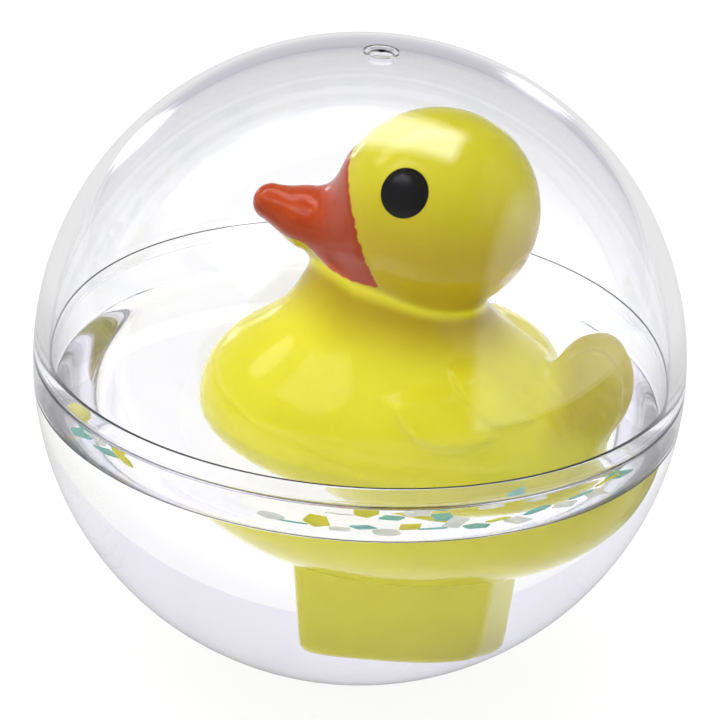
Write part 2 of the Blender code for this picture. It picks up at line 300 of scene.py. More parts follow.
# %% [markdown]
# The ball is two shells with a lap joint a little above the middle. The lower shell's lip rises inside the
# upper one, and its inner face eases back into the wall below. The joint is welded, so the two solids share
# a film far thinner than the wall, and no air is left in it. The grooves at its edges draw its lines.

# %% Shells
WALL = 1.8
SEAM = 0.9
LIP_TOP = 2.7
LIP_INNER = 35.3
LIP_FOOT = -2.9
WELD = 0.02
EDGE_ROUND = 0.05
SEAM_ROUND = 0.03
PLUG_HEAD = 1.95
PLUG_SHANK = 1.35
PLUG_LEDGE = 36.5
PLUG_FOOT = 35.2
PLUG_ROUND = 0.03
DIMPLE_RADIUS, DIMPLE_FOOT, DIMPLE_DEPTH = 0.45, 0.28, 0.20
PLUG_DROP = 0.05
ARC_ROWS, LIP_ROWS, LAP_ROWS = 110, 40, 12
SEAM_TRIM, BORE_TRIM, FOOT_TRIM = 0.5, 0.3, 0.4
inner = BALL - WALL


def lower_shell():
    """Outer bowl, up to the seam, over the lip and down the inner bowl. The lip's inner face moves out by
    t squared (3 - 2 t) of its thickness, t being the share of its height. Each run of corners starts and
    ends on a row of its neighbours, which gives its corners both their sides."""
    seam = SEAM + WELD
    lap = arc(inner + WELD, elevation(inner + WELD, seam), elevation(inner + WELD, LIP_TOP), LAP_ROWS)
    rim = [(BALL * math.cos(seam / BALL), 0.0), (math.sqrt(BALL**2 - seam**2), seam), lap[0], lap[1]]
    t = np.linspace(0, 1, LIP_ROWS)
    foot = math.sqrt(inner**2 - LIP_FOOT**2)
    ease = LIP_INNER + (foot - LIP_INNER) * t * t * (3 - 2 * t)
    face = np.stack([ease, LIP_TOP + (LIP_FOOT - LIP_TOP) * t], -1)
    lip = [lap[-2], lap[-1], (LIP_INNER, LIP_TOP), face[2]]
    bowl = arc(BALL, -90, elevation(BALL, seam) - SEAM_TRIM, ARC_ROWS)
    hollow = arc(inner, elevation(inner, LIP_FOOT), -90)
    parts = [bowl, rounded(rim, SEAM_ROUND)[1:-1], lap[1:-2], rounded(lip, EDGE_ROUND), face[3:], hollow[1:]]
    return turned("lower_shell_clear", np.concatenate(parts), POLYSTYRENE)


def upper_shell():
    """Outer dome, down the plug's stepped seat, down the inner dome and across the seam."""
    head, shank, ledge = PLUG_HEAD - WELD, PLUG_SHANK - WELD, PLUG_LEDGE + WELD
    seat_top, seat_foot = math.sqrt(BALL**2 - head**2), math.sqrt(inner**2 - shank**2)
    dome = arc(BALL, elevation(BALL, SEAM) + SEAM_TRIM, elevation(BALL, seat_top) - BORE_TRIM, ARC_ROWS)
    start, end = elevation(inner, seat_foot) - FOOT_TRIM, elevation(inner, SEAM) + FOOT_TRIM
    inside = arc(inner, start, end, ARC_ROWS)
    bore = [dome[-1], (head, seat_top), (head, ledge), (shank, ledge), (shank, seat_foot), inside[0]]
    joint = [inside[-1], (math.sqrt(inner**2 - SEAM**2), SEAM), (math.sqrt(BALL**2 - SEAM**2), SEAM), dome[0]]
    outline = [dome[:-1], rounded(bore, PLUG_ROUND), inside[1:-1], rounded(joint, SEAM_ROUND)[:-1]]
    return turned("upper_shell_clear", np.concatenate(outline), POLYSTYRENE, ring=True)


def fill_plug():
    """A stepped plug, flush with the dome, with the small dimple that its moulding gate left."""
    crown = math.sqrt(BALL**2 - PLUG_HEAD**2) - PLUG_DROP
    dip = crown - DIMPLE_DEPTH
    below = [(0.0, PLUG_FOOT), (PLUG_SHANK, PLUG_FOOT), (PLUG_SHANK, PLUG_LEDGE), (PLUG_HEAD, PLUG_LEDGE)]
    above = [(PLUG_HEAD, crown), (DIMPLE_RADIUS, crown), (DIMPLE_FOOT, dip), (0.0, dip)]
    return turned("fill_plug_clear", rounded(below + above, PLUG_ROUND), POLYSTYRENE, steps=96)


shells = {"lower_shell": lower_shell(), "upper_shell": upper_shell(), "fill_plug": fill_plug()}
for node, piece in shells.items():
    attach(piece, "root")
    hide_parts(node)
print("Shell faces:", {node: len(piece.data.polygons) for node, piece in shells.items()})

# %% [markdown]
# The duck is one soft rotocast moulding, so its forms melt into each other. The easiest way to write such
# a shape is as a distance field: each form gives the distance from its surface, and a smooth minimum
# joins them with a fillet of known width.


# %% Distance fields
FLATTEST = 1e-6


def ellipsoid(points, centre, radii):
    """Nearly the distance to an ellipsoid: k (k - 1) / g, k being the scaled length and g its slope."""
    scaled = (points - np.asarray(centre)) / np.asarray(radii)
    k = np.linalg.norm(scaled, axis=-1)
    slope = np.linalg.norm(scaled / np.asarray(radii), axis=-1)
    return k * (k - 1) / np.maximum(slope, FLATTEST)


def melt(a, b, width):
    """Smooth minimum: the lesser distance, less h squared width / 4, h being 1 - difference / width, or 0."""
    h = np.maximum(width - np.abs(a - b), 0.0) / width
    return np.minimum(a, b) - h * h * width / 4


def spin(points, centre, yaw, lean):
    """Points seen from a form that leans about Y, then is turned about Z, both through its own centre."""
    x, y, z = np.moveaxis(points - np.asarray(centre), -1, 0)
    u, v = x * math.cos(yaw) + y * math.sin(yaw), y * math.cos(yaw) - x * math.sin(yaw)
    return np.stack([u * math.cos(lean) - z * math.sin(lean), v, z * math.cos(lean) + u * math.sin(lean)], -1)


def cone(points, start, end):
    """Distance to a round cone between two balls given as (x, z, radius) in the plane y = 0."""
    a, b = np.array([start[0], 0, start[1]]), np.array([end[0], 0, end[1]])
    along = b - a
    share = np.clip(((points - a) @ along) / (along @ along), 0, 1)
    near = a + share[..., None] * along
    return np.linalg.norm(points - near, axis=-1) - (start[2] + (end[2] - start[2]) * share)


def mirror(points):
    """Folds both sides of the duck onto one: (x, |y|, z)."""
    return points * np.array([1.0, 0.0, 1.0]) + np.abs(points) * np.array([0.0, 1.0, 0.0])


def smooth_step(value, start, end):
    """t squared (3 - 2 t), t being the share of the way from start to end."""
    t = np.clip((value - start) / (end - start), 0, 1)
    return t * t * (3 - 2 * t)


print("Where two skins cross, a melt 8 mm wide adds, mm:", -float(melt(0.0, 0.0, 8.0)))

# %% [markdown]
# The duck's forms were set from its outline in the photo, seen through the camera above. It looks along -X
# here, with its middle plane at y = 0, and is turned to its bearing last. The hull, breast, back and neck
# melt widely, as a soft mould's forms do. The wing's three leaves are raised skin, and the tail fans out.

# %% The duck's forms
DUCK_PLACE = np.array([5.0, -4.5, 0.0])
DUCK_YAW = math.radians(-12)
HULL = ((2.5, 0.0, -5.9), (21.4, 17.5, 11.0))
BREAST = ((-5.9, 0.0, -3.6), (17.3, 15.2, 11.4))
BACK = ((3.6, 0.0, -1.4), (14.0, 13.5, 9.3))
NECK = ((-2.4, 0.0, 10.0), (9.2, 7.8, 9.0))
HEAD = ((2.3, 0.0, 21.0), (11.3, 10.6, 11.1))
BEAK_SPINE = ((-4.5, 17.2, 6.0), (-12.0, 17.9, 3.2), (-16.4, 19.1, 1.9))
BEAK_WIDTH = 1.15
TAIL_CENTRE = np.array([21.3, 0.0, 2.6])
TAIL_RADII = (4.6, 2.6, 6.7)
TAIL_LEAN, TAIL_FAN, TAIL_SPREAD = math.radians(6), math.radians(16), 2.4
TAIL_SIDE_SHARE = 0.86
FEATHERS = (
    (7.2, 2.6, 7.2, 3.2, -14.0),
    (11.8, 4.3, 6.2, 2.6, -27.0),
    (15.2, 5.0, 5.2, 2.2, -36.0),
)
FEATHER_RISE, FEATHER_EDGE = 1.15, 2.0
FEATHER_START, FEATHER_FULL = 5.0, 9.0
BREAST_MELT, BACK_MELT, NECK_MELT, TAIL_MELT = 7.0, 5.0, 8.0, 2.5
BEAK_SPINE_MELT, BEAK_MELT, TAIL_FEATHER_MELT, HEAD_MELT = 1.0, 3.0, 0.9, 2.2


def beak_field(points):
    """Two round cones end to end, drawn out sideways by BEAK_WIDTH."""
    flat = points / np.array([1.0, BEAK_WIDTH, 1.0])
    root, middle, tip = BEAK_SPINE
    return melt(cone(flat, root, middle), cone(flat, middle, tip), BEAK_SPINE_MELT)


def tail_field(points):
    """Three upturned feathers, side by side."""
    middle = ellipsoid(spin(points, TAIL_CENTRE, 0.0, TAIL_LEAN), (0, 0, 0), TAIL_RADII)
    beside = TAIL_CENTRE + np.array([0.0, TAIL_SPREAD, 0.0])
    side_radii = np.array(TAIL_RADII) * TAIL_SIDE_SHARE
    outer = ellipsoid(spin(mirror(points), beside, TAIL_FAN, TAIL_LEAN), (0, 0, 0), side_radii)
    return melt(middle, outer, TAIL_FEATHER_MELT)


def feather_rise(points):
    """How far the wing's leaves stand out. A leaf is where its width (1 - (s / length) squared) is above |t|,
    s and t being measured along and across it on the duck's side."""
    x, y, z = np.moveaxis(points, -1, 0)
    rise = np.zeros_like(x)
    for middle, height, length, width, lean in FEATHERS:
        c, s = math.cos(math.radians(lean)), math.sin(math.radians(lean))
        along, across = (x - middle) * c + (z - height) * s, (z - height) * c - (x - middle) * s
        edge = width * (1 - (along / length) ** 2) - np.abs(across)
        rise = np.maximum(rise, FEATHER_RISE * smooth_step(edge, 0.0, FEATHER_EDGE))
    return rise * smooth_step(np.abs(y), FEATHER_START, FEATHER_FULL)


def head_field(points):
    """The head with its beak."""
    return melt(ellipsoid(points, *HEAD), beak_field(points), BEAK_MELT)


def duck_field(points):
    """The whole moulding: each form melts into the last over its own width in millimetres."""
    body = melt(ellipsoid(points, *HULL), ellipsoid(points, *BREAST), BREAST_MELT)
    body = melt(body, ellipsoid(points, *BACK), BACK_MELT)
    body = melt(body, ellipsoid(points, *NECK), NECK_MELT) - feather_rise(points)
    body = melt(body, tail_field(points), TAIL_MELT)
    return melt(body, head_field(points), HEAD_MELT)


print("Distance from the head's centre to its skin, mm:", round(float(duck_field(np.array([HEAD[0]]))[0]), 1))

# %% [markdown]
# A surface net turns the field into a mesh: one point in each small cell that the skin crosses, and one
# quad round each cell edge that it crosses. It suits melted forms better than joining separate meshes,
# because it leaves no seams.


# %% Surface net
def edge_pairs(values, axis):
    """The two ends of every grid edge along an axis."""
    lower = [slice(None)] * 3
    upper = [slice(None)] * 3
    lower[axis], upper[axis] = slice(None, -1), slice(1, None)
    return values[tuple(lower)], values[tuple(upper)]


def window(axis, first, second):
    """For the cells of a grid: the slices that pick one of the four edges along an axis round each cell."""
    picked = [slice(None)] * 3
    others = [other for other in range(3) if other != axis]
    for other, offset in zip(others, (first, second)):
        picked[other] = slice(offset, -1 if offset == 0 else None)
    return tuple(picked)


def surface_net(field, low, high, step):
    """One point per crossed cell, the mean of its edges' crossings, each at a / (a - b) of the way along its
    edge, a and b being the field at its ends."""
    axes = [np.arange(start, end + step, step) for start, end in zip(low, high)]
    grid = np.stack(np.meshgrid(*axes, indexing="ij"), -1)
    values = field(grid)
    cells = tuple(size - 1 for size in values.shape)
    total, count = np.zeros(cells + (3,)), np.zeros(cells)
    crossings = []
    for axis in range(3):
        start, end = edge_pairs(values, axis)
        crossed = (start < 0) != (end < 0)
        share = np.where(crossed, start / np.where(crossed, start - end, 1.0), 0.0)
        point = edge_pairs(grid, axis)[0] + share[..., None] * step * np.eye(3)[axis]
        crossings.append((crossed, start < 0))
        for first in (0, 1):
            for second in (0, 1):
                part = window(axis, first, second)
                total += np.where(crossed[part][..., None], point[part], 0.0)
                count += crossed[part]
    used = count > 0
    number = np.full(cells, -1)
    number[used] = np.arange(used.sum())
    faces = [net_faces(number, crossed, inside, axis) for axis, (crossed, inside) in enumerate(crossings)]
    return total[used] / count[used][:, None], np.concatenate(faces)


def net_faces(number, crossed, inside, axis):
    """The four cells round each crossed edge, turned the other way where the edge leaves the solid."""
    others = [other for other in range(3) if other != axis]
    place = np.argwhere(crossed)
    keep = np.all([(place[:, o] > 0) & (place[:, o] < number.shape[o]) for o in others], axis=0)
    place = place[keep]
    corners = []
    for first, second in ((-1, -1), (0, -1), (0, 0), (-1, 0)):
        cell = place.copy()
        cell[:, others[0]] += first
        cell[:, others[1]] += second
        corners.append(number[tuple(cell.T)])
    quads = np.stack(corners, -1)
    flip = inside[tuple(place.T)] ^ (axis == 1)
    quads[flip] = quads[flip][:, ::-1]
    return quads


print("Edges of a 3 by 3 by 3 grid along X:", edge_pairs(np.zeros((3, 3, 3)), 0)[0].size)

# %% [markdown]
# The net's points lie only roughly on the skin, so they slide along the field's slope until the field is
# zero there. That takes the facets out of the highlights on glossy vinyl.

# %% The duck's skin
NET_STEP = 0.42
NET_LOW, NET_HIGH = (-25.0, -20.0, -19.0), (29.0, 20.0, 34.0)


def slope(field, points, reach=0.05):
    """The field's gradient by central differences."""
    steps = np.eye(3) * reach
    return np.stack([field(points + s) - field(points - s) for s in steps], -1) / (2 * reach)


def settle(field, points, rounds=3):
    """Newton steps onto the skin: each point moves by -d g / |g| squared."""
    for _ in range(rounds):
        g = slope(field, points)
        points = points - (field(points) / np.maximum((g**2).sum(-1), FLATTEST))[:, None] * g
    return points


skin, skin_faces = surface_net(duck_field, NET_LOW, NET_HIGH, NET_STEP)
skin = settle(duck_field, skin)
print("Duck skin:", len(skin), "points,", len(skin_faces), "faces")

# %% [markdown]
# The beak and the eyes are sprayed on through masks, so they are paint edges and not separate pieces.
# Each edge is kept as a signed distance at every point of the skin, positive inside the paint. The
# shader turns it into a thin line that is far sharper than the mesh. The painted beak also stands a hair
# proud of the jaw, and each eye is a low disc in a shallow ring. A third value is painted shade, not the
# vinyl's own colour: it deepens the yellow and orange under the head, on its lower side and on the tail,
# and stands in for shade that the plain sky of this studio doesn't cast there.

# %% Paint edges, painted shade and small relief
EYE_AIM = np.array([-2.03, 9.18, 5.08])
EYE_RADIUS = 2.7
MASK_FOOT = (-2.6, 16.0)
MASK_SLOPE = -0.43
JAW_LINE, JAW_RISE, JAW_START, JAW_LENGTH = 14.4, 2.2, -5.5, 6.5
# The painted shade: how strong it is on the head and tail, and where it starts, fades and rises.
HEAD_SHADE, TAIL_SHADE = 0.90, 0.60
FACING_UP, FACING_SIDE = -0.90, 0.25
SHADE_STARTS, SHADE_FADES, SHADE_RISES = (0.4, 1.8), (1.0, 8.5), (3.0, 7.0)
HEAD_ENDS = (0.2, 0.8)
TAIL_BACK, TAIL_UP = (16.5, 20.5), (-3.0, 1.0)
EYE_DISC, EYE_DISC_EDGE = 0.14, (-0.05, 1.2)
EYE_RING, EYE_RING_OUT, EYE_RING_WIDTH = -0.07, 0.25, 0.10
BEAK_STEP, BEAK_STEP_EDGE = 0.16, (-0.25, 0.35)


def eye_centre():
    """Where the ray from the head's centre leaves the head."""
    aim = EYE_AIM / np.linalg.norm(EYE_AIM)
    return np.array(HEAD[0]) + aim / np.linalg.norm(aim / np.array(HEAD[1]))


def eye_edge(points):
    """Distance inside the nearer eye's rim."""
    return EYE_RADIUS - np.linalg.norm(mirror(points) - eye_centre(), axis=-1)


def beak_edge(points):
    """Distance inside the beak's mask: ahead of a slanted line on the face, and above the line of the jaw."""
    x, _, z = np.moveaxis(points, -1, 0)
    ahead = (MASK_FOOT[0] + MASK_SLOPE * (z - MASK_FOOT[1]) - x) / math.hypot(1, MASK_SLOPE)
    back = np.clip((JAW_START - x) / JAW_LENGTH, 0, 1)
    above = z - JAW_LINE - JAW_RISE * back**2
    return np.minimum(ahead, above)


def painted_skin_shade(points, outward):
    """How much painted shade each point gets, standing in for the shade the duck casts on itself: on the body
    it fades with the distance from the head, on the head it grows as the skin turns downwards, and on the
    tail's feathers it is even."""
    x, _, z = points.T
    gap = head_field(points)
    below_head = smooth_step(gap, *SHADE_STARTS) * (1 - smooth_step(gap, *SHADE_FADES))
    on_body = below_head * smooth_step(z, *SHADE_RISES)
    turned_down = smooth_step(-outward[:, 2], FACING_UP, FACING_SIDE)
    on_head = turned_down * (1 - smooth_step(gap, *HEAD_ENDS)) * HEAD_SHADE
    on_tail = smooth_step(x, *TAIL_BACK) * smooth_step(z, *TAIL_UP) * TAIL_SHADE
    return np.maximum(np.maximum(on_body, on_head), on_tail)


def relief(points):
    """Height of the small forms above the skin, in millimetres."""
    eye = eye_edge(points)
    disc = EYE_DISC * smooth_step(eye, *EYE_DISC_EDGE)
    ring = EYE_RING * np.exp(-((eye + EYE_RING_OUT) ** 2) / EYE_RING_WIDTH)
    beak = BEAK_STEP * smooth_step(beak_edge(points), *BEAK_STEP_EDGE)
    return disc + ring + beak


normal = slope(duck_field, skin)
normal /= np.linalg.norm(normal, axis=1)[:, None]
# The painted shade is kept on the skin as a third attribute, beside the paint edges.
skin_edges = {"beak_paint": beak_edge(skin), "eye_paint": eye_edge(skin), "shade": painted_skin_shade(skin, normal)}
skin = skin + normal * relief(skin)[:, None]
print("Painted points:", {name: int((edge > 0).sum()) for name, edge in skin_edges.items()})

# %% [markdown]
# Rotocast vinyl is a little cloudy and its skin is never quite even, so its colour, gloss and surface each
# get a noise of their own, at a size taken from the real thing. The paint goes on over it in order: the
# yellow, darkened by the painted shade, then the orange beak with a slightly ragged edge and the same
# painted shade, then the black eye with a clean one.

# %% Vinyl and paint
VINYL_INDEX = 1.45
CLOUD_SIZE, BLOTCH_SIZE, GRAIN_SIZE, BUMP_SIZE, RAGGED_SIZE = 9.0, 1.1, 0.7, 2.5, 0.8
CLOUD_STOPS, BLOTCH_STOPS, GRAIN_SHARE = (0.35, 0.65), (0.3, 0.7), (0.3, 0.8)
VINYL_GLOSS = (0.13, 0.22)
BUMP_HEIGHT, BUMP_STRENGTH = 0.4, 0.12
RAGGED, BEAK_BLUR, EYE_BLUR = 0.12, 0.06, 0.05
# How far the painted shade darkens the yellow and the orange at most.
PAINTED_SHADE_MOST = 0.85


def attribute(tree, name):
    """The value that the mesh keeps under a name."""
    return add_node(tree, "ShaderNodeAttribute", {"attribute_name": name}).outputs["Fac"]


def blend_colours(tree, share, first, second):
    """Goes from the first colour to the second as the share grows."""
    mix = {"data_type": "RGBA"}
    return add_node(tree, "ShaderNodeMix", mix, slot_0=share, slot_6=first, slot_7=second).outputs[2]


def duck_colours(tree):
    """The moulding's yellow, the beak's orange and the eye's black, the first two darkened by painted shade.
    """
    clouds = noise(tree, CLOUD_SIZE, detail=3.0).outputs["Fac"]
    blotches = noise(tree, BLOTCH_SIZE, detail=4.0, shift=0.3).outputs["Fac"]
    yellow = ramp(tree, clouds, CLOUD_STOPS, "#E2DA22", "#E8E02E")
    orange = ramp(tree, blotches, BLOTCH_STOPS, "#B83E06", "#C84C0A")
    black = ramp(tree, blotches, BLOTCH_STOPS, "#0C0B0B", "#141212")
    # Painted shade: the yellow and orange go towards darker copies where the shade attribute is high.
    deep = spread(tree, attribute(tree, "shade"), 0.0, 1.0, 0.0, PAINTED_SHADE_MOST)
    yellow = blend_colours(tree, deep, yellow, linear("#A5850C"))
    orange = blend_colours(tree, deep, orange, linear("#8A2C04"))
    return yellow, orange, black


def duck_vinyl():
    """Soft vinyl, rotocast and tumbled: warm yellow, a little cloudy, with sprayed beak and eyes."""
    material, tree, finish = new_material("yellow vinyl, rotocast")
    yellow, orange, black = duck_colours(tree)
    wander = spread(tree, noise(tree, RAGGED_SIZE).outputs["Fac"], *MOST_OF_NOISE, -RAGGED, RAGGED)
    ragged = maths(tree, "ADD", attribute(tree, "beak_paint"), wander)
    on_beak = spread(tree, ragged, -BEAK_BLUR, BEAK_BLUR, 0.0, 1.0)
    on_eye = spread(tree, attribute(tree, "eye_paint"), -EYE_BLUR, EYE_BLUR, 0.0, 1.0)
    colour = blend_colours(tree, on_eye, blend_colours(tree, on_beak, yellow, orange), black)
    grain = noise(tree, GRAIN_SIZE, detail=3.0).outputs["Fac"]
    rough = spread(tree, grain, *GRAIN_SHARE, *VINYL_GLOSS)
    bumps = noise(tree, BUMP_SIZE, detail=3.0).outputs["Fac"]
    height = {"Height": bumps, "Strength": BUMP_STRENGTH, "Distance": BUMP_HEIGHT * MM}
    bump = add_node(tree, "ShaderNodeBump", **height).outputs[0]
    settings = {"Base_Color": colour, "Roughness": rough, "Normal": bump, "IOR": VINYL_INDEX}
    finish(add_node(tree, "ShaderNodeBsdfPrincipled", **settings))
    return material


VINYL = duck_vinyl()
print("Vinyl:", VINYL.name)

# %% [markdown]
# The skin takes its paint edges along as point attributes. Then it is turned to its bearing and moved to its
# place in the ball, a little to the right of the middle and nearer to the camera, as in the photo.


# %% Place the duck
def add_attribute(piece, name, values):
    """Keeps one number per point on the mesh, for the shader to read."""
    layer = piece.data.attributes.new(name, "FLOAT", "POINT")
    layer.data.foreach_set("value", np.asarray(values, np.float32))


def to_ball(points):
    """Duck coordinates to the ball's: turned by its bearing, then moved to its place."""
    x, y, z = np.moveaxis(points, -1, 0)
    c, s = math.cos(DUCK_YAW), math.sin(DUCK_YAW)
    return np.stack([x * c - y * s, x * s + y * c, z], -1) + DUCK_PLACE


def from_ball(points):
    """The ball's coordinates to the duck's."""
    x, y, z = np.moveaxis(points - DUCK_PLACE, -1, 0)
    c, s = math.cos(DUCK_YAW), math.sin(DUCK_YAW)
    return np.stack([x * c + y * s, y * c - x * s, z], -1)


duck = mesh_object("duck_skin", to_ball(skin), skin_faces, VINYL, crease=math.radians(70))
for edge_name, edge in skin_edges.items():
    add_attribute(duck, edge_name, edge)
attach(duck, "root")
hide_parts("duck_body")
print("Duck box, mm:", (to_ball(skin).min(0).round(1), to_ball(skin).max(0).round(1)))

# %% [markdown]
# The keel is a hollow box that tapers downwards and holds the weight that keeps the duck upright. Its
# plan is a rounded rectangle at every height, so it can be swept as one surface: a superellipse whose
# two half sides shrink towards the foot, with a small radius where the walls turn into the floor.

# %% Keel
KEEL_TOP, KEEL_FOOT = np.array([9.75, 5.5]), np.array([8.0, 4.2])
KEEL_TOP_HEIGHT, KEEL_FOOT_HEIGHT = -12.0, -25.0
KEEL_ROUND = 1.1
KEEL_SQUARE = 7.0
KEEL_WALL_ROWS, KEEL_TURN_ROWS = 24, 8
UNPAINTED = 9.0


def keel_rows():
    """Heights and shrink of each ring: straight walls, then a quarter circle in to the floor."""
    height = np.linspace(KEEL_TOP_HEIGHT, KEEL_FOOT_HEIGHT + KEEL_ROUND, KEEL_WALL_ROWS)
    turn = np.linspace(0, np.pi / 2, KEEL_TURN_ROWS)[1:]
    curve = KEEL_FOOT_HEIGHT + KEEL_ROUND - KEEL_ROUND * np.sin(turn)
    inset = np.concatenate([np.zeros(KEEL_WALL_ROWS), KEEL_ROUND * (1 - np.cos(turn))])
    return np.concatenate([height, curve]), inset


def keel_points(steps=144):
    """Point at (a |cos t|^(2/n), b |sin t|^(2/n)), signed as cos and sin, a and b being the half sides."""
    height, inset = keel_rows()
    share = (height - KEEL_FOOT_HEIGHT) / (KEEL_TOP_HEIGHT - KEEL_FOOT_HEIGHT)
    half = KEEL_FOOT + (KEEL_TOP - KEEL_FOOT) * share[:, None] - inset[:, None]
    angle = np.linspace(0, 2 * np.pi, steps, endpoint=False)
    power = 2 / KEEL_SQUARE
    x = np.sign(np.cos(angle)) * np.abs(np.cos(angle)) ** power
    y = np.sign(np.sin(angle)) * np.abs(np.sin(angle)) ** power
    level = np.broadcast_to(height[:, None], (len(height), steps))
    rings = np.stack([half[:, :1] * x, half[:, 1:] * y, level], -1)
    to_axis = np.array([0.0, 0.0, 1.0])
    return np.concatenate([rings[:1] * to_axis, rings, rings[-1:] * to_axis])


rings = keel_points()
keel = mesh_object("keel_box", to_ball(rings.reshape(-1, 3)), grid_faces(*rings.shape[:2]), VINYL)
for edge_name in skin_edges:
    add_attribute(keel, edge_name, np.full(len(keel.data.vertices), -UNPAINTED))
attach(keel, "root")
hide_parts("keel")
print("Keel faces:", len(keel.data.polygons))

# %% [markdown]
# Water climbs a wall that it wets. The rise falls off as exp(-d / a), where d is the distance from the
# wall and a is a little over a millimetre here. The same rule runs round the hull, whose distance comes
# from the duck's field. The water is a hair wider than the bowl, so that no air shows between the two.

# %% Water
WATER_LEVEL = -4.2
WALL_RISE, HULL_RISE, RISE_REACH = 0.9, 0.2, 1.2
WATER_OVERLAP = 0.2
BOWL_ROWS, SURFACE_ROWS, WATER_STEPS = 90, 110, 300
SURFACE_CROWDING = 1.25


def water():
    """The bowl's inside up to the waterline, then rings across the surface, closer together near the wall.
    Each point is raised by exp(-distance / reach) times the rise at the wall and at the hull."""
    radius = inner + WATER_OVERLAP
    rim_level = WATER_LEVEL + WALL_RISE
    bowl = arc(radius, -90, elevation(radius, rim_level), BOWL_ROWS)
    inwards = np.linspace(0, 1, SURFACE_ROWS)[1:] ** SURFACE_CROWDING
    top = np.stack([bowl[-1, 0] * (1 - inwards), np.full(len(inwards), WATER_LEVEL)], -1)
    points = turn_points(np.concatenate([bowl, top]), WATER_STEPS)
    surface = points[len(bowl) :]
    from_wall = np.maximum(bowl[-1, 0] - np.hypot(surface[..., 0], surface[..., 1]), 0)
    level = surface * np.array([1, 1, 0]) + np.array([0, 0, WATER_LEVEL])
    from_hull = np.maximum(duck_field(from_ball(level)), 0)
    surface[..., 2] += WALL_RISE * np.exp(-from_wall / RISE_REACH)
    surface[..., 2] += HULL_RISE * np.exp(-from_hull / RISE_REACH)
    surface[-1] = surface[-1].mean(0)
    return mesh_object("water_body", points.reshape(-1, 3), grid_faces(*points.shape[:2]), WATER)


pool = water()
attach(pool, "root")
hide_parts("water")
print("Water faces:", len(pool.data.polygons))

# %% [markdown]
# The flakes are punched from thin coloured plastic film, and the weight in the keel is cut from steel bar.
# Both keep their CAD meshes, whose flat faces are right as they are, and only get finishes. A film scatters
# some light inside itself, so its colour is a little uneven.

# %% Flake and weight finishes
FILM_CLOUD_SIZE, FILM_GRAIN_SIZE, FILM_GLOSS = 1.3, 0.3, (0.35, 0.50)
# The second number here is the strength of the flakes' painted glow.
FILM_STOPS, FILM_PAINTED_GLOW, FILM_THROUGH = (0.35, 0.70), 0.30, 0.45
SCRATCH_SIZE, STEEL_GLOSS = 0.4, (0.3, 0.5)


def flake_film(name, pale, deep):
    """Coloured polyethylene film, punched into flakes: matt, uneven and thin enough to pass light. It also
    gets a painted glow of its own colour, which stands in for an optical brightener and lifts flakes that
    the studio leaves dim."""
    material, tree, finish = new_material(name)
    cloud = noise(tree, FILM_CLOUD_SIZE, detail=3.0).outputs["Fac"]
    colour = ramp(tree, cloud, FILM_STOPS, pale, deep)
    rough = spread(tree, noise(tree, FILM_GRAIN_SIZE).outputs["Fac"], *MOST_OF_NOISE, *FILM_GLOSS)
    # A painted glow: the flake gives off a little light of its own colour, whatever lights it.
    painted_glow = {"Emission_Color": colour, "Emission_Strength": FILM_PAINTED_GLOW}
    face = add_node(tree, "ShaderNodeBsdfPrincipled", Base_Color=colour, Roughness=rough, **painted_glow)
    glow = add_node(tree, "ShaderNodeBsdfTranslucent", Color=colour)
    shaders = {"slot_1": face.outputs[0], "slot_2": glow.outputs[0]}
    finish(add_node(tree, "ShaderNodeMixShader", slot_0=FILM_THROUGH, **shaders))
    return material


def weight_steel():
    """Mild steel bar, sawn and tumbled: grey, with fine scratches."""
    material, tree, finish = new_material("mild steel, tumbled")
    scratch = noise(tree, SCRATCH_SIZE, detail=6.0).outputs["Fac"]
    rough = spread(tree, scratch, *MOST_OF_NOISE, *STEEL_GLOSS)
    settings = {"Base_Color": linear("#A9A9AC"), "Metallic": 1.0, "Roughness": rough}
    finish(add_node(tree, "ShaderNodeBsdfPrincipled", **settings))
    return material


def dress(node, material):
    """Gives a CAD node a material in its own slot."""
    slots = frame["nodes"][node].material_slots
    if slots:
        slots[0].material = material
    else:
        frame["nodes"][node].data.materials.append(material)


FILMS = {
    "white_flake": flake_film("white film, punched", "#F4F4F1", "#E6E8E6"),
    "blue_flake": flake_film("pale blue film, punched", "#9FD8D2", "#86C8C4"),
    "yellow_flake": flake_film("yellow film, punched", "#ECE84C", "#E0DB3A"),
}
slots_of = {entry["node"]: entry["material_slot"] for entry in frame["record"]["subparts"]}
for node, slot_name in slots_of.items():
    if slot_name in FILMS:
        dress(node, FILMS[slot_name])
dress("ballast_weight", weight_steel())
print("Flakes dressed:", sum(slot_name in FILMS for slot_name in slots_of.values()))

# %% [markdown]
# The studio is a white sweep. Straight to the camera it is plain white. Through the clear plastic it is a
# little grey towards the room in front, and a plain reflection shows a dim room with softboxes. That is what
# lets the ball be seen at all. Light that has been turned back inside the wall and has wandered on through
# many surfaces would leave black patches, so it meets a bright sky instead. Light that has bounced off
# something matt comes from a sky that is brighter above than below, which models the duck.

# %% Rays and levels
AT_LEAST_ONCE, DEEP, WANDERED = 0.5, 5.5, 1.5
SKY_AIM = Vector((-0.55, 0.20, 0.82)).normalized()
SKY_LIT, SKY_SHADED, SKY_TURN = 2.6, 0.42, (-0.45, 0.9)
THROUGH_BACK, THROUGH_FRONT, THROUGH_TURN = 1.0, 0.85, (-0.75, 0.15)
WHITE = (1.0, 1.0, 1.0, 1.0)


def light_path(tree, *names):
    """The named outputs of one Light Path node."""
    node = add_node(tree, "ShaderNodeLightPath")
    return [node.outputs[name] for name in names]


def above(tree, value, limit):
    """1 where a value is above a limit, and 0 elsewhere."""
    return maths(tree, "GREATER_THAN", value, limit)


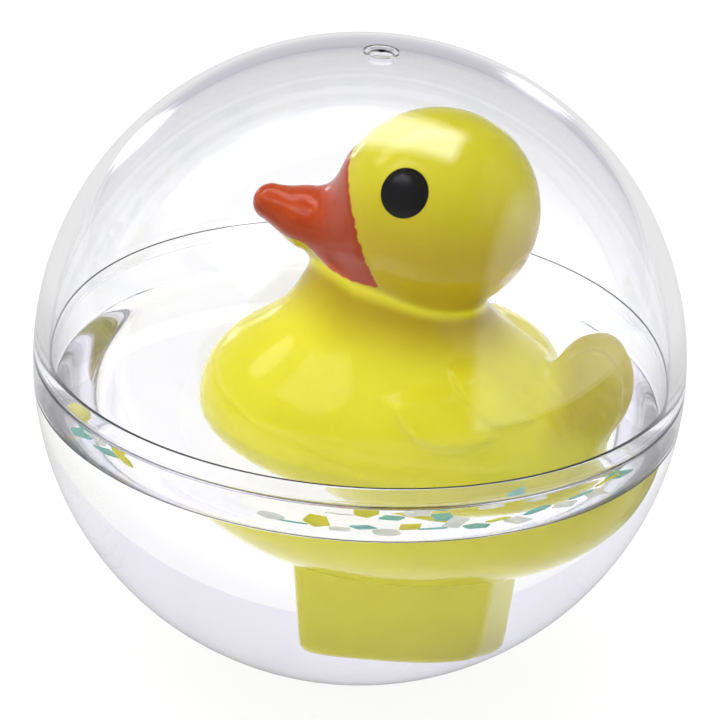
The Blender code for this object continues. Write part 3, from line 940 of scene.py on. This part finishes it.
def ray_kinds(tree):
    """Three switches: light on its way to a matt surface, a plain reflection, and light that has been
    turned back inside the wall and has crossed more surfaces than DEEP since."""
    depths = light_path(tree, "Diffuse Depth", "Glossy Depth", "Transmission Depth")
    diffuse_depth, glossy_depth, crossed = depths
    mirrored = above(tree, glossy_depth, AT_LEAST_ONCE)
    wandered = maths(tree, "MULTIPLY", mirrored, above(tree, crossed, DEEP))
    lit = above(tree, diffuse_depth, AT_LEAST_ONCE)
    return lit, maths(tree, "SUBTRACT", mirrored, wandered), wandered


def blend(tree, share, first, second):
    """first + (second - first) times the share."""
    mix = {"data_type": "FLOAT"}
    return add_node(tree, "ShaderNodeMix", mix, slot_0=share, slot_2=first, slot_3=second).outputs[0]


def axis_of(tree, vector, axis):
    """One coordinate of a vector, by its number."""
    return add_node(tree, "ShaderNodeSeparateXYZ", Vector=vector).outputs[axis]


def dot(tree, aim, axis):
    """The dot product of a direction and a fixed axis."""
    settings = {"operation": "DOT_PRODUCT"}
    node = add_node(tree, "ShaderNodeVectorMath", settings, slot_0=aim, slot_1=tuple(axis))
    return node.outputs["Value"]


print("Sky aims at", tuple(round(part, 2) for part in SKY_AIM))

# %% [markdown]
# What a glossy surface shows is its room, so the room is drawn with care: dark in front, paler behind, with
# a white wall on the right and a few softboxes. Each softbox is a rectangle in the sky, cut out by comparing
# how far a direction leans to its two sides, with edges a little soft, as a diffuser's are.

# %% The room in the reflections
ROOM_FRONT, ROOM_BACK, ROOM_HIGH, ROOM_FLOOR = 0.05, 0.62, 0.07, 0.12
FRONT_TO_BACK, WALLS_TO_HIGH, WALLS_TO_FLOOR = (-0.5, 0.5), (0.15, 0.55), (-0.12, -0.25)
ROOM_TINT = linear("#F6F5FF")
SOFTBOXES = (
    ("overhead strip", (-0.30, 0.36, 0.88), (1.0, 0.12, 0.27), 0.80, 0.15, 3.2),
    ("key", (-0.62, -0.30, 0.72), (0.44, -0.90, 0.0), 0.22, 0.15, 2.6),
    ("left window", (-0.47, 0.88, 0.03), (0.88, 0.47, 0.0), 0.05, 0.06, 5.0),
    ("right window", (0.24, 0.97, -0.01), (0.97, -0.24, 0.0), 0.03, 0.05, 4.0),
)
SIDE_WALL, SIDE_WALL_EDGE, SIDE_WALL_END = 0.95, (0.61, 0.67), (0.15, 0.45)
SOFT_EDGE = 0.04
AHEAD_AT_LEAST = 0.01


def softbox(tree, aim, centre, along, half_length, half_width, strength):
    """A lit rectangle in the sky: its sides are limits on the ratios of three dot products."""
    axis = Vector(centre).normalized()
    across = axis.cross(Vector(along)).normalized()
    ahead = maths(tree, "MAXIMUM", dot(tree, aim, axis), AHEAD_AT_LEAST)
    inside = strength
    for side, half in ((across.cross(axis), half_length), (across, half_width)):
        ratio = maths(tree, "ABSOLUTE", maths(tree, "DIVIDE", dot(tree, aim, side), ahead))
        within = spread(tree, ratio, half - SOFT_EDGE, half + SOFT_EDGE, 1.0, 0.0)
        inside = maths(tree, "MULTIPLY", inside, within)
    return inside


def room_seen_in_reflections(tree, aim):
    """A dark room in front, a pale one behind, a dark floor, a white wall on the right and the softboxes."""
    x, y, z = (axis_of(tree, aim, axis) for axis in range(3))
    walls = spread(tree, y, *FRONT_TO_BACK, ROOM_FRONT, ROOM_BACK)
    upper = blend(tree, spread(tree, z, *WALLS_TO_HIGH, 0.0, 1.0), walls, ROOM_HIGH)
    room = blend(tree, spread(tree, z, *WALLS_TO_FLOOR, 0.0, 1.0), upper, ROOM_FLOOR)
    side_wall = spread(tree, x, *SIDE_WALL_EDGE, 0.0, SIDE_WALL)
    side_wall = maths(tree, "MULTIPLY", side_wall, spread(tree, y, *SIDE_WALL_END, 1.0, 0.0))
    room = maths(tree, "ADD", room, side_wall)
    for _, centre, along, half_length, half_width, strength in SOFTBOXES:
        room = maths(tree, "ADD", room, softbox(tree, aim, centre, along, half_length, half_width, strength))
    return room


def make_world():
    """Picks the level for each kind of ray: white, the sky, the room, the wandered light or the sweep."""
    world = bpy.data.worlds.new("white sweep")
    bpy.context.scene.world = world
    world.use_nodes = True
    tree = world.node_tree
    tree.nodes.clear()
    aim = add_node(tree, "ShaderNodeTexCoord").outputs["Generated"]
    camera_ray = light_path(tree, "Is Camera Ray")[0]
    lit, reflected, wandered = ray_kinds(tree)
    through = spread(tree, axis_of(tree, aim, 1), *THROUGH_TURN, THROUGH_FRONT, THROUGH_BACK)
    seen = blend(tree, reflected, through, room_seen_in_reflections(tree, aim))
    seen = blend(tree, wandered, seen, WANDERED)
    sky = spread(tree, dot(tree, aim, SKY_AIM), *SKY_TURN, SKY_SHADED, SKY_LIT)
    strength = blend(tree, camera_ray, blend(tree, lit, seen, sky), 1.0)
    tint = blend_colours(tree, maths(tree, "MAXIMUM", camera_ray, lit), ROOM_TINT, WHITE)
    shader = add_node(tree, "ShaderNodeBackground", Color=tint, Strength=strength)
    add_node(tree, "ShaderNodeOutputWorld", Surface=shader.outputs[0])


make_world()
print("Softboxes:", [name for name, *_ in SOFTBOXES])

# %% [markdown]
# The floor is a sheet of white paper. To the camera it is mostly its own white and takes only a faint shadow.
# In reflections it is dark near the ball and bright behind it, and below the ball, seen through the water,
# it is a little brighter than white, because the ball gathers light there.

# %% Floor
FLOOR_SIZE = 3000.0
TABLE_NEAR, TABLE_FAR, TABLE_TURN = 0.14, 0.72, (-0.02, 0.12)
TABLE_UNDER, TABLE_BEHIND, UNDER_TURN = 1.15, 1.02, (0.05, 0.20)
TABLE_GLOW = 3.0
OWN_WHITE_SEEN, OWN_WHITE_LIT = 0.90, 0.50


def floor_paper():
    """White paper sweep: matt, and mostly its own white to the camera, so that the shadow on it is faint."""
    material, tree, finish = new_material("white paper sweep")
    camera_ray, diffuse_depth = light_path(tree, "Is Camera Ray", "Diffuse Depth")
    lit, reflected, wandered = ray_kinds(tree)
    place = add_node(tree, "ShaderNodeTexCoord").outputs["Object"]
    y = axis_of(tree, place, 1)
    seen = spread(tree, y, *UNDER_TURN, TABLE_UNDER, TABLE_BEHIND)
    level = blend(tree, reflected, seen, spread(tree, y, *TABLE_TURN, TABLE_NEAR, TABLE_FAR))
    level = blend(tree, lit, blend(tree, wandered, level, WANDERED), TABLE_GLOW)
    level = blend(tree, camera_ray, level, 1.0)
    matt = add_node(tree, "ShaderNodeBsdfDiffuse", Color=linear("#FAFAFA")).outputs[0]
    glow = add_node(tree, "ShaderNodeEmission", Color=WHITE, Strength=level).outputs[0]
    share = spread(tree, diffuse_depth, 0.0, 1.0, OWN_WHITE_SEEN, OWN_WHITE_LIT)
    finish(add_node(tree, "ShaderNodeMixShader", slot_0=share, slot_1=matt, slot_2=glow))
    return material


def make_floor():
    """A square sheet under the ball, which touches its lowest point."""
    mesh = bpy.data.meshes.new("floor")
    side = FLOOR_SIZE / 2 * MM
    corners = [(-side, -side), (side, -side), (side, side), (-side, side)]
    mesh.from_pydata([(x, y, -BALL * MM) for x, y in corners], [], [(0, 1, 2, 3)])
    mesh.materials.append(floor_paper())
    floor = bpy.data.objects.new("floor", mesh)
    bpy.context.scene.collection.objects.link(floor)


make_floor()
print("Floor side, mm:", FLOOR_SIZE)

# %% [markdown]
# The view transform is Standard, so that a colour renders as it is written. Clear plastic round water
# round a duck is many surfaces deep, so light may pass 24 of them before it is given up.

# %% View settings
SURFACES_DEEP, MIRRORED_DEEP, MATT_DEEP = 24, 12, 4
scene = bpy.context.scene
scene.view_settings.view_transform = "Standard"
scene.cycles.max_bounces = SURFACES_DEEP
scene.cycles.transmission_bounces = SURFACES_DEEP
scene.cycles.transparent_max_bounces = SURFACES_DEEP
scene.cycles.glossy_bounces = MIRRORED_DEEP
scene.cycles.diffuse_bounces = MATT_DEEP
